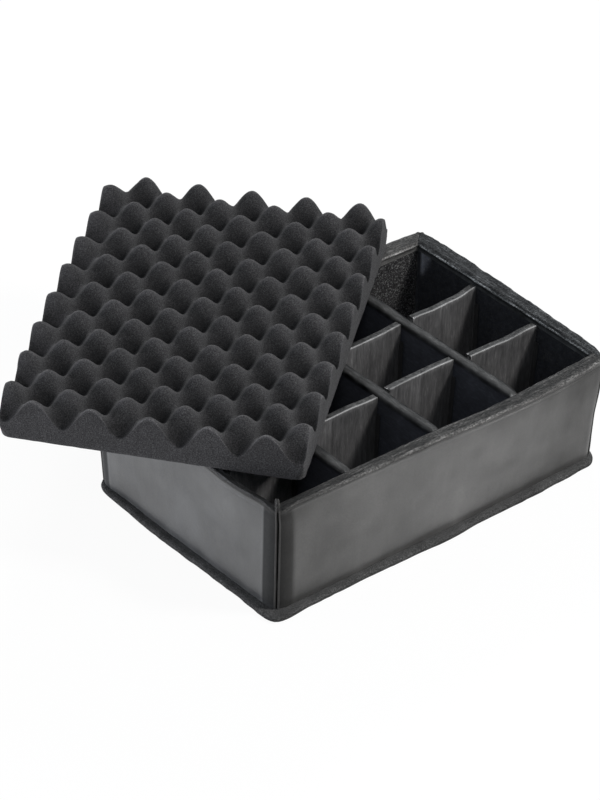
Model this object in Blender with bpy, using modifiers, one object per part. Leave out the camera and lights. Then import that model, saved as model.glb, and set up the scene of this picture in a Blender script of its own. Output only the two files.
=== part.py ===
"""Padded camera bag insert: a covered foam box on a felt base, three long dividers with two short
dividers in each bay between them, and a loose egg-crate foam pad laid askew on the rim.

The frame is in metres, +Z up, with the origin at the middle of the base's underside. X runs along
the long side of the box, and the front wall faces -Y.
"""

import math

import bmesh
import bpy

# Box, outside the covers at the foot, with the height counted from the top of the flange
box_length = 0.376
box_depth = 0.248
wall_height = 0.111
wall_thickness = 0.0132
wall_corner_radius = 0.016
rim_edge_radius = 0.0048
rim_lean = 0.005
cover_thickness = 0.0014
lining_thickness = 0.0015
rim_turn_in = 0.009

# Felt base, which shows below the walls as a flange
base_thickness = 0.006
base_skin = 0.0014
base_band_width = 0.0085
flange_width = 0.0045
flange_edge_radius = 0.0028

# Floor inside the walls
floor_foam_thickness = 0.003
floor_lining_thickness = 0.0012

# Corner welts, where two wall covers are sewn together
welt_width = 0.0062
welt_projection = 0.0022
welt_slit_width = 0.0009
welt_slit_depth = 0.0015
welt_below_rim = 0.0026

# Long dividers: the left and right ones placed by their middle from the outside of the wall
# beside them, and the middle one from the middle of the box
left_divider_from_wall = 0.090
middle_divider_from_middle = -0.002
right_divider_from_wall = 0.101
long_divider_thickness = 0.013
long_divider_skin = 0.0016
divider_drop = 0.006
hook_strip_thickness = 0.0014
hook_strip_width = 0.022
hook_strip_height = 0.078

# Short dividers, bay by bay, placed by their middle from the outside of the wall beside their row
front_row_from_front_wall = (0.0815, 0.0845, 0.0865, 0.0805)
rear_row_from_rear_wall = (0.094, 0.094, 0.094, 0.093)
short_divider_thickness = 0.0075
short_divider_skin = 0.0013
end_flap_thickness = 0.0012
end_flap_width = 0.016
end_flap_height = 0.074
end_flap_rise = 0.008

# Egg-crate pad, placed by its front left corner from the outside of the box's front left corner.
# Its sides are cut a little outside the first and the last valley.
pad_columns = 5
pad_rows = 8
pad_column_pitch = 0.0512
pad_row_pitch = 0.04725
pad_left_margin = 0.006
pad_right_margin = 0.0025
pad_valley_thickness = 0.0168
pad_wave_height = 0.0251
pad_corner_from_left = -0.1212
pad_corner_from_front = 0.2274
pad_turn = math.radians(-52.2)

# Clearance between pieces that touch
gap = 0.0003

# Facets
arc_steps = 8
wall_corner_steps = 3
plate_corner_steps = 5
edge_steps = 3
welt_arc_steps = 4
pad_steps_per_wave = 6

# Heights that follow from the sizes above
wall_bottom = base_thickness + gap
rim_top = base_thickness + wall_height
floor_foam_bottom = base_thickness + gap
floor_lining_bottom = floor_foam_bottom + floor_foam_thickness + gap
divider_bottom = floor_lining_bottom + floor_lining_thickness + gap
divider_height = rim_top - divider_drop - divider_bottom

# Inner faces and divider places that follow from them
inner_half_length = box_length / 2 - wall_thickness
inner_half_depth = box_depth / 2 - wall_thickness
inner_corner_radius = wall_corner_radius - wall_thickness
long_divider_places = (
    left_divider_from_wall - box_length / 2,
    middle_divider_from_middle,
    box_length / 2 - right_divider_from_wall,
)


def clear_scene():
    for item in list(bpy.data.objects):
        bpy.data.objects.remove(item, do_unlink=True)


def new_collection(name):
    collection = bpy.data.collections.new(name)
    bpy.context.scene.collection.children.link(collection)
    return collection


def make_material(name, color, roughness, sheen=0.0):
    material = bpy.data.materials.new(name)
    material.use_nodes = True
    shader = material.node_tree.nodes["Principled BSDF"]
    shader.inputs["Base Color"].default_value = (*color, 1.0)
    shader.inputs["Roughness"].default_value = roughness
    shader.inputs["Metallic"].default_value = 0.0
    shader.inputs["Sheen Weight"].default_value = sheen
    material.diffuse_color = (*color, 1.0)
    return material


def add_part(name, data, material, location=(0, 0, 0), rotation=(0, 0, 0), parent=None):
    part = bpy.data.objects.new(name, data)
    part.location = location
    part.rotation_euler = rotation
    part.parent = parent
    data.materials.clear()
    data.materials.append(material)
    parts.objects.link(part)
    return part


def add_helper(name, data, location=(0, 0, 0), rotation=(0, 0, 0), parent=None):
    helper = bpy.data.objects.new(name, data)
    helper.location = location
    helper.rotation_euler = rotation
    helper.parent = parent
    helper.hide_render = True
    helper.display_type = "WIRE"
    helpers.objects.link(helper)
    return helper


def add_empty(name, location):
    empty = bpy.data.objects.new(name, None)
    empty.location = location
    empty.empty_display_size = 0.02
    parts.objects.link(empty)
    return empty


def arc(center, radius, start, end, steps):
    """Points along an arc, both ends included, with the angles in degrees."""
    points = []
    for step in range(steps + 1):
        angle = math.radians(start + (end - start) * step / steps)
        points.append((center[0] + radius * math.cos(angle), center[1] + radius * math.sin(angle)))
    return points


def flat_curve(name, points, closed):
    curve = bpy.data.curves.new(name, "CURVE")
    curve.dimensions = "2D"
    curve.fill_mode = "BOTH" if closed else "NONE"
    spline = curve.splines.new("POLY")
    spline.points.add(len(points) - 1)
    for point, place in zip(spline.points, points):
        point.co = (place[0], place[1], 0, 1)
    spline.use_cyclic_u = closed
    return curve


def extruded(name, points, length):
    """A closed outline filled and extruded to the given length, half to each side."""
    curve = flat_curve(name, points, closed=True)
    curve.extrude = length / 2
    return curve


def swept(name, section, path):
    """A closed section swept along an open path, with its X to the right of the path and Y up."""
    section_curve = flat_curve(name + "_section", section, closed=True)
    section_curve.fill_mode = "NONE"
    curve = flat_curve(name, path, closed=False)
    curve.fill_mode = "BOTH"
    curve.bevel_mode = "OBJECT"
    curve.bevel_object = add_helper(name + "_section", section_curve)
    curve.use_fill_caps = True
    return curve


def mesh_of(curve):
    """The mesh that a curve makes, with its caps joined to its sides."""
    carrier = bpy.data.objects.new("carrier", curve)
    bpy.context.scene.collection.objects.link(carrier)
    graph = bpy.context.evaluated_depsgraph_get()
    mesh = bpy.data.meshes.new_from_object(carrier.evaluated_get(graph))
    bpy.data.objects.remove(carrier)
    shape = bmesh.new()
    shape.from_mesh(mesh)
    bmesh.ops.remove_doubles(shape, verts=shape.verts, dist=1e-6)
    bmesh.ops.recalc_face_normals(shape, faces=shape.faces)
    shape.to_mesh(mesh)
    shape.free()
    return mesh


def box_mesh(name, size):
    shape = bmesh.new()
    bmesh.ops.create_cube(shape, size=1.0)
    bmesh.ops.scale(shape, vec=size, verts=shape.verts)
    mesh = bpy.data.meshes.new(name)
    shape.to_mesh(mesh)
    shape.free()
    return mesh


def plate_mesh(name, length, depth, thickness, corner_radius):
    """A plate standing on its origin, with its upright edges rounded."""
    shape = bmesh.new()
    bmesh.ops.create_cube(shape, size=1.0)
    bmesh.ops.scale(shape, vec=(length, depth, thickness), verts=shape.verts)
    bmesh.ops.translate(shape, vec=(0, 0, thickness / 2), verts=shape.verts)
    upright = [edge for edge in shape.edges if edge.verts[0].co.xy == edge.verts[1].co.xy]
    bmesh.ops.bevel(
        shape,
        geom=upright,
        offset=corner_radius,
        segments=plate_corner_steps,
        profile=0.5,
        affect="EDGES",
    )
    mesh = bpy.data.meshes.new(name)
    shape.to_mesh(mesh)
    shape.free()
    return mesh


def build_lean():
    """A lattice round the box whose top is wider than its foot, so that what it bends flares."""
    data = bpy.data.lattices.new("rim_lean")
    data.interpolation_type_u = "KEY_LINEAR"
    data.interpolation_type_v = "KEY_LINEAR"
    data.interpolation_type_w = "KEY_LINEAR"
    for point in data.points:
        if point.co.z > 0:
            point.co_deform.x *= 1 + 2 * rim_lean / box_length
            point.co_deform.y *= 1 + 2 * rim_lean / box_depth
    height = rim_top - wall_bottom
    lattice = add_helper("rim_lean", data, (0, 0, wall_bottom + height / 2))
    lattice.scale = (box_length, box_depth, height)
    return lattice


def lean_out(part):
    modifier = part.modifiers.new("lean", "LATTICE")
    modifier.object = lean


def cut_with(part, cutter, name):
    modifier = part.modifiers.new(name, "BOOLEAN")
    modifier.operation = "DIFFERENCE"
    modifier.object = cutter


def join_with(part, other, name):
    modifier = part.modifiers.new(name, "BOOLEAN")
    modifier.operation = "UNION"
    modifier.object = other


def build_base():
    """A felt tray with a rounded flange, and the stiff board that lies in it."""
    flange_radius = wall_corner_radius + flange_width
    tray = add_part(
        "base_felt_tray",
        plate_mesh(
            "base_felt_tray",
            box_length + 2 * flange_width,
            box_depth + 2 * flange_width,
            base_thickness,
            flange_radius,
        ),
        felt,
    )
    nose = tray.modifiers.new("flange_edge", "BEVEL")
    nose.width = flange_edge_radius
    nose.segments = edge_steps
    nose.limit_method = "ANGLE"
    nose.angle_limit = math.radians(60)

    inset = base_band_width - flange_width
    recess_length = box_length - 2 * inset
    recess_depth = box_depth - 2 * inset
    recess_radius = wall_corner_radius - inset
    recess = add_helper(
        "base_recess_cutter",
        plate_mesh(
            "base_recess_cutter", recess_length, recess_depth, base_thickness, recess_radius
        ),
        location=(0, 0, base_skin),
    )
    cut_with(tray, recess, "recess")
    add_part(
        "base_board",
        plate_mesh(
            "base_board",
            recess_length - 2 * gap,
            recess_depth - 2 * gap,
            base_thickness - base_skin - gap,
            recess_radius - gap,
        ),
        board,
        location=(0, 0, base_skin + gap),
    )


def build_floor():
    """The padded floor between the walls: a thin foam sheet and the loop lining on it."""
    layers = (
        ("floor_foam", floor_foam_bottom, floor_foam_thickness, core_foam),
        ("floor_lining", floor_lining_bottom, floor_lining_thickness, loop_lining),
    )
    for name, bottom, thickness, material in layers:
        mesh = plate_mesh(
            name,
            2 * (inner_half_length - gap),
            2 * (inner_half_depth - gap),
            thickness,
            inner_corner_radius - gap,
        )
        add_part(name, mesh, material, location=(0, 0, bottom))


def wall_path(run):
    """A wall's outer face in plan, from the mitre at its right end to the one at its left.

    Each end stops in the middle of a chord, which the mitre so meets squarely.
    """
    mitre_shift = gap / math.sqrt(2)
    center_x = run / 2 - wall_corner_radius - mitre_shift
    chord = 90 / (2 * wall_corner_steps + 1)
    mitre_radius = wall_corner_radius * math.cos(math.radians(chord / 2))
    turned = wall_corner_steps * chord
    left = arc(
        (-center_x, wall_corner_radius), wall_corner_radius, -90, -90 - turned, wall_corner_steps
    )
    left.append(
        (
            -center_x - mitre_radius * math.sin(math.radians(45)),
            wall_corner_radius - mitre_radius * math.cos(math.radians(45)),
        )
    )
    right = [(-x, y) for x, y in reversed(left)]
    return right + left


def rim_outline(inset):
    """The rounded top of a wall from outside to inside, drawn in by the inset."""
    radius = rim_edge_radius - inset
    level = rim_top - rim_edge_radius
    outline = arc((rim_edge_radius, level), radius, 180, 90, arc_steps // 2)
    outline += arc((wall_thickness - rim_edge_radius, level), radius, 90, 0, arc_steps // 2)
    return outline


def cover_section():
    """The cover goes up the outside, over the rim and a little way down the inside."""
    turn_in_bottom = rim_top - rim_turn_in
    section = [(0, wall_bottom)]
    section += rim_outline(0)
    section.append((wall_thickness, turn_in_bottom))
    section.append((wall_thickness - cover_thickness, turn_in_bottom))
    section += reversed(rim_outline(cover_thickness))
    section.append((cover_thickness, wall_bottom))
    return section


def wall_foam_section():
    """The foam core fills the wall between its cover and its lining, with a rounded top."""
    inset = max(cover_thickness, lining_thickness) + gap
    section = [(inset, wall_bottom)]
    section += rim_outline(inset)
    section.append((wall_thickness - inset, wall_bottom))
    return section


def wall_lining_section():
    """The lining runs from the floor to the lower edge of the cover's turn-in."""
    outer_face = wall_thickness - lining_thickness
    top = rim_top - rim_turn_in - gap
    return [
        (outer_face, wall_bottom),
        (outer_face, top),
        (wall_thickness, top),
        (wall_thickness, wall_bottom),
    ]


def build_wall(side, run, distance, turn):
    """One wall of three layers, mitred at both corners, facing outwards at the given turn."""
    angle = math.radians(turn)
    location = (distance * math.sin(angle), -distance * math.cos(angle), 0)
    path = wall_path(run)
    layers = (
        ("foam", wall_foam_section(), core_foam),
        ("cover", cover_section(), leatherette),
        ("lining", wall_lining_section(), loop_lining),
    )
    for layer, section, material in layers:
        name = f"{side}_wall_{layer}"
        wall = add_part(name, swept(name, section, path), material, location, (0, 0, angle))
        lean_out(wall)


def build_walls():
    build_wall("front", box_length, box_depth / 2, 0)
    build_wall("right", box_depth, box_length / 2, 90)
    build_wall("rear", box_length, box_depth / 2, 180)
    build_wall("left", box_depth, box_length / 2, -90)


def welt_outline():
    """Two rounded lips with a slit between them, hollowed at the back to sit on the corner."""
    seat_radius = wall_corner_radius + gap
    half_angle = math.degrees(math.asin(welt_width / 2 / seat_radius))
    lip_radius = (welt_width - welt_slit_width) / 4
    lip_x = wall_corner_radius + welt_projection - lip_radius
    lip_y = welt_slit_width / 2 + lip_radius
    slit_x = wall_corner_radius + welt_projection - welt_slit_depth
    outline = arc((0, 0), seat_radius, -half_angle, half_angle, welt_arc_steps)
    outline += arc((lip_x, lip_y), lip_radius, 90, -90, welt_arc_steps)
    outline += [(slit_x, welt_slit_width / 2), (slit_x, -welt_slit_width / 2)]
    outline += arc((lip_x, -lip_y), lip_radius, 90, -90, welt_arc_steps)
    return outline


def build_corner_welts():
    height = rim_top - welt_below_rim - wall_bottom
    center_x = box_length / 2 - wall_corner_radius
    center_y = box_depth / 2 - wall_corner_radius
    corners = (
        ("front_left", -1, -1, -135),
        ("front_right", 1, -1, -45),
        ("rear_right", 1, 1, 45),
        ("rear_left", -1, 1, 135),
    )
    for corner, side_x, side_y, turn in corners:
        name = f"{corner}_corner_welt"
        welt = add_part(
            name,
            extruded(name, welt_outline(), height),
            leatherette,
            (side_x * center_x, side_y * center_y, wall_bottom + height / 2),
            (0, 0, math.radians(turn)),
        )
        lean_out(welt)


def arch_outline(half_width, height, skin=0.0):
    """An upright slab with a round top. With a skin, only a sleeve of that thickness, open below."""
    center = (0, height - half_width)
    outline = [(-half_width, 0)]
    outline += arc(center, half_width, 180, 0, arc_steps)
    outline.append((half_width, 0))
    if skin:
        inner = half_width - skin
        outline.append((inner, 0))
        outline += arc(center, inner, 0, 180, arc_steps)
        outline.append((-inner, 0))
    return outline


def core_outline(thickness, skin):
    """The slab that fills a sleeve, clear of it by the gap."""
    inset = skin + gap
    return arch_outline(thickness / 2 - inset, divider_height - inset)


def build_long_divider(number, place):
    """A foam core in a padded sleeve, held to the front and rear walls by a hook strip each."""
    upright = (math.radians(90), 0, 0)
    divider = add_empty(f"long_divider_{number}", (place, 0, divider_bottom))
    strip_center = inner_half_depth - gap - hook_strip_thickness / 2
    length = 2 * (strip_center - hook_strip_thickness / 2 - gap)
    sleeve = arch_outline(long_divider_thickness / 2, divider_height, long_divider_skin)
    name = f"long_divider_{number}_cover"
    pieces = [add_part(name, extruded(name, sleeve, length), velour, (0, 0, 0), upright, divider)]
    name = f"long_divider_{number}_foam"
    core = core_outline(long_divider_thickness, long_divider_skin)
    foam = extruded(name, core, length)
    pieces.append(add_part(name, foam, core_foam, (0, 0, 0), upright, divider))
    strip_middle = divider_height - long_divider_thickness / 2 - hook_strip_height / 2
    for end, side in (("front", -1), ("rear", 1)):
        name = f"long_divider_{number}_{end}_hook_strip"
        size = (hook_strip_width, hook_strip_thickness, hook_strip_height)
        spot = (0, side * strip_center, strip_middle)
        pieces.append(add_part(name, box_mesh(name, size), hook_tape, spot, parent=divider))
    for piece in pieces:
        lean_out(piece)


def bays():
    """The clear width of each bay, from the left wall past each long divider to the right one."""
    half = long_divider_thickness / 2
    starts = [-inner_half_length] + [place + half for place in long_divider_places]
    ends = [place - half for place in long_divider_places] + [inner_half_length]
    return list(zip(starts, ends))


def build_short_divider(label, bay, place):
    """A thin core in a velour sleeve whose ends carry upright flaps of hook tape."""
    along_x = (math.radians(90), 0, math.radians(90))
    middle = (bay[0] + bay[1]) / 2
    length = bay[1] - bay[0] - 2 * gap
    divider = add_empty(f"short_divider_{label}", (middle, place, divider_bottom))
    name = f"short_divider_{label}_cover"
    outline = arch_outline(short_divider_thickness / 2, divider_height, short_divider_skin)
    sleeve = mesh_of(extruded(name, outline, length))
    cover = add_part(name, sleeve, velour, (0, 0, 0), along_x, divider)
    flap_size = (end_flap_width, end_flap_height, end_flap_thickness)
    for end, side in (("left", -1), ("right", 1)):
        flap = add_helper(
            f"short_divider_{label}_{end}_flap",
            box_mesh("end_flap", flap_size),
            (side * (length - end_flap_thickness) / 2, 0, end_flap_rise + end_flap_height / 2),
            along_x,
            divider,
        )
        join_with(cover, flap, f"{end}_flap")
    name = f"short_divider_{label}_core"
    core = core_outline(short_divider_thickness, short_divider_skin)
    core_length = length - 2 * (end_flap_thickness + gap)
    foam = extruded(name, core, core_length)
    filling = add_part(name, foam, core_foam, (0, 0, 0), along_x, divider)
    lean_out(cover)
    lean_out(filling)


def build_dividers():
    for number, place in enumerate(long_divider_places, start=1):
        build_long_divider(number, place)
    rows = zip(bays(), front_row_from_front_wall, rear_row_from_rear_wall)
    for number, (bay, from_front, from_rear) in enumerate(rows, start=1):
        build_short_divider(f"{number}_front", bay, from_front - box_depth / 2)
        build_short_divider(f"{number}_rear", bay, box_depth / 2 - from_rear)


def pad_height(along_row, along_column):
    """Peaks and valleys in turn, as two sheets cut from one block by a waved blade."""
    column_wave = math.cos(2 * math.pi * (along_row - pad_left_margin) / pad_column_pitch)
    row_wave = math.cos(2 * math.pi * along_column / pad_row_pitch)
    return pad_valley_thickness + pad_wave_height * (1 - column_wave * row_wave) / 2


def build_pad():
    """The egg-crate pad, with flat cut sides and a flat underside that lies on the rim."""
    waves = pad_columns * pad_column_pitch
    width = pad_left_margin + waves + pad_right_margin
    length = pad_rows * pad_row_pitch
    steps_across = pad_columns * pad_steps_per_wave
    places = [0.0]
    for step in range(steps_across + 1):
        places.append(pad_left_margin + waves * step / steps_across)
    places.append(width)
    shape = bmesh.new()
    bmesh.ops.create_grid(
        shape,
        x_segments=steps_across + 2,
        y_segments=pad_rows * pad_steps_per_wave,
        size=0.5,
    )
    for vertex in shape.verts:
        along_row = places[round((vertex.co.x + 0.5) * (steps_across + 2))]
        along_column = (vertex.co.y + 0.5) * length
        height = pad_height(along_row, along_column)
        vertex.co = (along_row - width / 2, along_column - length / 2, height)
    rim = [edge for edge in shape.edges if edge.is_boundary]
    sides = bmesh.ops.extrude_edge_only(shape, edges=rim)["geom"]
    foot = [item for item in sides if isinstance(item, bmesh.types.BMEdge)]
    for item in sides:
        if isinstance(item, bmesh.types.BMVert):
            item.co.z = 0
    bmesh.ops.edgeloop_fill(shape, edges=foot)
    bmesh.ops.recalc_face_normals(shape, faces=shape.faces)
    mesh = bpy.data.meshes.new("egg_crate_pad")
    shape.to_mesh(mesh)
    shape.free()

    across = (math.cos(pad_turn) * width / 2, math.sin(pad_turn) * width / 2)
    along = (-math.sin(pad_turn) * length / 2, math.cos(pad_turn) * length / 2)
    place = (
        pad_corner_from_left - box_length / 2 + across[0] + along[0],
        pad_corner_from_front - box_depth / 2 + across[1] + along[1],
        rim_top + gap,
    )
    add_part("egg_crate_pad", mesh, pad_foam, place, (0, 0, pad_turn))


def smooth_round_meshes():
    for part in parts.objects:
        if part.type == "MESH":
            part.data.shade_smooth()
            part.data.set_sharp_from_angle(angle=math.radians(35))


clear_scene()
parts = new_collection("camera_bag_insert")
helpers = new_collection("cutters_and_guides")

leatherette = make_material("leatherette", (0.085, 0.083, 0.084), 0.42)
core_foam = make_material("core_foam", (0.28, 0.28, 0.29), 0.95)
loop_lining = make_material("loop_lining", (0.028, 0.028, 0.031), 0.95, 0.3)
velour = make_material("velour", (0.105, 0.103, 0.106), 0.85, 0.4)
hook_tape = make_material("hook_tape", (0.05, 0.05, 0.052), 0.6)
felt = make_material("felt", (0.022, 0.022, 0.023), 0.98, 0.2)
board = make_material("board", (0.16, 0.13, 0.10), 0.8)
pad_foam = make_material("pad_foam", (0.042, 0.043, 0.047), 0.97)

lean = build_lean()
build_base()
build_floor()
build_walls()
build_corner_welts()
build_dividers()
build_pad()
smooth_round_meshes()
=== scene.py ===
"""The camera bag insert dressed for its picture: leatherette walls over foam, velour dividers, a
felt base and a loose egg-crate pad. Metres, +Z up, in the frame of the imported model."""

import functools
import itertools
import math

import bmesh
import bpy
import numpy as np
from mathutils import Matrix, Vector


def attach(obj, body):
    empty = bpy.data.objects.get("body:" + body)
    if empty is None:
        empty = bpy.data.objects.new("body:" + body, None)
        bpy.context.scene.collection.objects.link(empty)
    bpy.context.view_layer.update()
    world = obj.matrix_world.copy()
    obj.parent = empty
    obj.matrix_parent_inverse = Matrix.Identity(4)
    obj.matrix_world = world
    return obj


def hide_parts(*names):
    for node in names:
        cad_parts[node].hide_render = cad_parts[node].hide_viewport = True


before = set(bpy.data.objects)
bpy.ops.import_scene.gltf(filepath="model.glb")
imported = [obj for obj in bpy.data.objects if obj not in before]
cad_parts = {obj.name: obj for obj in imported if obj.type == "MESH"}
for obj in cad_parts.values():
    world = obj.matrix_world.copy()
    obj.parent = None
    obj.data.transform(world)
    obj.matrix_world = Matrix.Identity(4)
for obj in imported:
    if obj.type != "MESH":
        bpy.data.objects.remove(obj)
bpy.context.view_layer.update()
scene = bpy.context.scene

# Sizes of the solids that the pieces below stand for
BOX_LENGTH, BOX_DEPTH = 0.376, 0.248
HALF_X, HALF_Y = BOX_LENGTH / 2, BOX_DEPTH / 2
WALL_BOTTOM, RIM_TOP = 0.0063, 0.117
WALL, CORNER, RIM_EDGE, LEAN = 0.0132, 0.016, 0.0048, 0.005
COVER, LINING, TURN_IN = 0.0014, 0.0015, 0.009
GAP, END_GAP = 0.0003, 0.0009
FLANGE, BASE, BASE_SKIN, BASE_BAND = 0.0045, 0.006, 0.0014, 0.0085
FLOOR_FOAM, FLOOR_LINING = (0.0063, 0.0093), (0.0096, 0.0108)
DIVIDER_BOTTOM, DIVIDER_TOP = 0.0111, 0.111
LONG_PLACES = (-0.098, -0.002, 0.087)
LONG_THICK, LONG_SKIN = 0.013, 0.0016
SHORT_THICK, SHORT_SKIN = 0.0075, 0.0013
SHORT_FRONT = (-0.0425, -0.0395, -0.0375, -0.0435)
SHORT_REAR = (0.03, 0.03, 0.03, 0.031)
# Width, thickness and height of the hook strips and of the hook flaps
STRIP = (0.022, 0.0014, 0.078)
FLAP, FLAP_RISE = (0.016, 0.0012, 0.074), 0.008
PAD_COLUMNS, PAD_ROWS = 5, 8
PAD_COLUMN, PAD_ROW = 0.0512, 0.04725
PAD_VALLEY, PAD_WAVE = 0.0168, 0.0251
PAD_LEFT, PAD_RIGHT = 0.006, 0.0025
PAD_CORNER, PAD_TURN = (-0.3055, 0.0987), math.radians(-52.2)
INNER_X, INNER_Y = HALF_X - WALL, HALF_Y - WALL
# The leatherette's radii at the rim's outer and inner edge, and its length up to the outer one
BAND_OUTER, BAND_INNER = 0.0028, 0.0034
FACE = RIM_TOP - BAND_OUTER - WALL_BOTTOM
# Each wall's length, distance from the middle, way out, and seed
SIDES = {
    "front": (BOX_LENGTH, HALF_Y, (0, -1), 11),
    "right": (BOX_DEPTH, HALF_X, (1, 0), 23),
    "rear": (BOX_LENGTH, HALF_Y, (0, 1), 37),
    "left": (BOX_DEPTH, HALF_X, (-1, 0), 53),
}
# Folds of the right lining: distance from its rear end, width, and lowest place
FOLDS = ((0.0165, 0.0011, 0.081), (0.02, 0.0013, 0.088), (0.024, 0.0012, 0.094))
# Corners with their side along x and y
CORNERS = {"front_left": (-1, -1), "front_right": (1, -1), "rear_right": (1, 1),
    "rear_left": (-1, 1)}
# Where the rim sags at a corner: how deep, at which x and y, and how wide
SAGS = ((0.0034, -0.186, -0.122, 0.013), (0.0016, 0.186, -0.122, 0.012),
    (0.001, 0.186, 0.122, 0.012))
# A size so great that noise stays even along its axis
FAR = 9
WHITE = (1, 1, 1)


# ---- numbers and fields


def part_of(value, low, high):
    """How far a value has come from low to high, from 0 to 1."""
    return np.clip((value - low) / (high - low), 0, 1)


def ease(value, low, high):
    part = part_of(value, low, high)
    return part * part * (3 - 2 * part)


def bump(value, middle, width):
    return np.exp(-(((value - middle) / width) ** 2))


def joined(*parts):
    """Points from their coordinates."""
    return np.stack(np.broadcast_arrays(*parts), -1)


def grid(*axes):
    return np.meshgrid(*(np.linspace(*axis) for axis in axes), indexing="ij")


def noise(points, size, seed):
    """Smooth lattice noise from -1 to 1, the size being one length or one for each axis."""
    cells = points / np.asarray(size)
    base = np.floor(cells).astype(np.int64)
    part = cells - base
    part = part * part * (3 - 2 * part)
    total = np.zeros(points.shape[:-1])
    for corner in itertools.product((0, 1), repeat=3):
        cell = base + np.array(corner)
        mixed = cell[..., 0] * 73856093 ^ cell[..., 1] * 19349663 ^ cell[..., 2] * 83492791
        mixed = (mixed ^ seed * 2654435761) & 0xFFFFFFFF
        mixed = ((mixed ^ mixed >> 15) * 2246822519) & 0xFFFFFFFF
        mixed = ((mixed ^ mixed >> 13) * 3266489917) & 0xFFFFFFFF
        value = ((mixed ^ mixed >> 16) & 0xFFFF) / 32767.5 - 1
        total += value * np.where(np.array(corner), part, 1 - part).prod(-1)
    return total


def waves(points, seed):
    """Noise at the points, by its size along the first two axes and what is added to the seed."""
    return lambda first, second, more=0: noise(points, (first, second, FAR), seed + more)


def table(*knots, blur=0.013):
    """A smooth function in metres through knots of millimetres."""
    places = np.linspace(-0.22, 0.22, 881)
    values = np.interp(places, [k[0] / 1000 for k in knots], [k[1] / 1000 for k in knots])
    reach = 100
    kernel = np.exp(-0.5 * (np.arange(-reach, reach + 1) * (places[1] - places[0]) / blur) ** 2)
    values = np.convolve(np.pad(values, reach, mode="edge"), kernel / kernel.sum(), mode="valid")
    return lambda at: np.interp(at, places, values)


# How far each wall stands out beyond an even lean: at the rim's two faces and at the foot
front_out = table((-188, -4.5), (-150, -3), (-129, -2.2), (-80, 0), (0, 3), (34, 5), (104, 6.5),
    (160, 5), (180, 1), (188, -2.5))
front_in = table((-188, -2), (-177, 0.5), (-129, 1), (-80, 1.5), (0, 2.5), (38, 6), (100, 4.5),
    (157, 2.5), (172, 2.5), (188, 0))
rear_out = table((-188, 2), (0, 4), (152, 4.3), (188, 3.1))
rear_in = table((-188, 0), (0, 1), (188, 1))
right_out = table((-124, -6.5), (-119, -5.5), (-99, -1.8), (-56, -0.6), (19, 2.8), (76, 4.4),
    (124, 4.2))
right_in = table((-124, -1.8), (-109, 0), (124, 0.5), blur=0.006)
left_out = table((-124, -5), (-106, -4), (-84, -0.4), (-68, 1.6), (-38, 0.6), (20, 2), (100, 3),
    (124, 6))
left_in = table((-124, -1), (-100, 0), (124, 0))
left_thin = table((-124, 1), (-112, 4), (-95, 7), (-40, 8), (0, 4), (30, 0), blur=0.01)
front_foot = table((-188, -2), (-174, -1.5), (-80, 0.2), (9, 2.2), (170, 2.3), (188, 1.6))
left_foot = table((-124, -1.5), (-110, -1.2), (-89, 0), (29, 3.5), (62, 3), (88, 2.2), (115, 5))
# How far the felt flange stands out further
front_flange = table((-188, 6), (-168, 2.6), (-108, 2.4), (-55, 3.4), (-20, 3.9), (50, 3),
    (170, 2.4), (188, 2.2))
left_flange = table((-124, 6), (-104, 3.8), (-47, 2.6), (18, 2.8), (95, 2.4), (114, 0), (124, -5),
    blur=0.009)
right_flange = table((-124, -1.6), (-60, 0.5), (124, 1))


def across(value, half, inner, outer_low, inner_low, inner_high, outer_high):
    """Blends four offsets: outer face, inner face, other inner face and other outer face."""
    low, middle = part_of(value, -half, -inner), part_of(value, -inner, inner)
    between = inner_low * (1 - middle) + inner_high * middle
    high = (outer_high - inner_high) * part_of(value, inner, half)
    return (outer_low - inner_low) * (1 - low) + between + high


def squared(x, y, half_x, half_y, radius, power):
    """Draws the plan's round corners towards square ones. A power of 2 leaves them round."""
    tiny, hardly = 1e-7, 2e-7
    out_x = np.maximum(radius - half_x + np.abs(x), tiny)
    out_y = np.maximum(radius - half_y + np.abs(y), tiny)
    scale = np.hypot(out_x, out_y) / (out_x ** power + out_y ** power) ** (1 / power)
    scale = np.where((out_x > hardly) & (out_y > hardly), scale, 1)
    return [np.where(out > hardly, np.sign(at) * (half - radius + out * scale), at) for at, half,
        out in ((x, half_x, out_x), (y, half_y, out_y))]


def up_wall(z):
    return part_of(z, WALL_BOTTOM, RIM_TOP)


def leaned(points):
    """Straight-sided places moved out with the walls' even lean."""
    slope = np.array([2 * LEAN / BOX_LENGTH, 2 * LEAN / BOX_DEPTH, 0])
    return points * (1 + slope * up_wall(points[..., 2:]))


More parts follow.
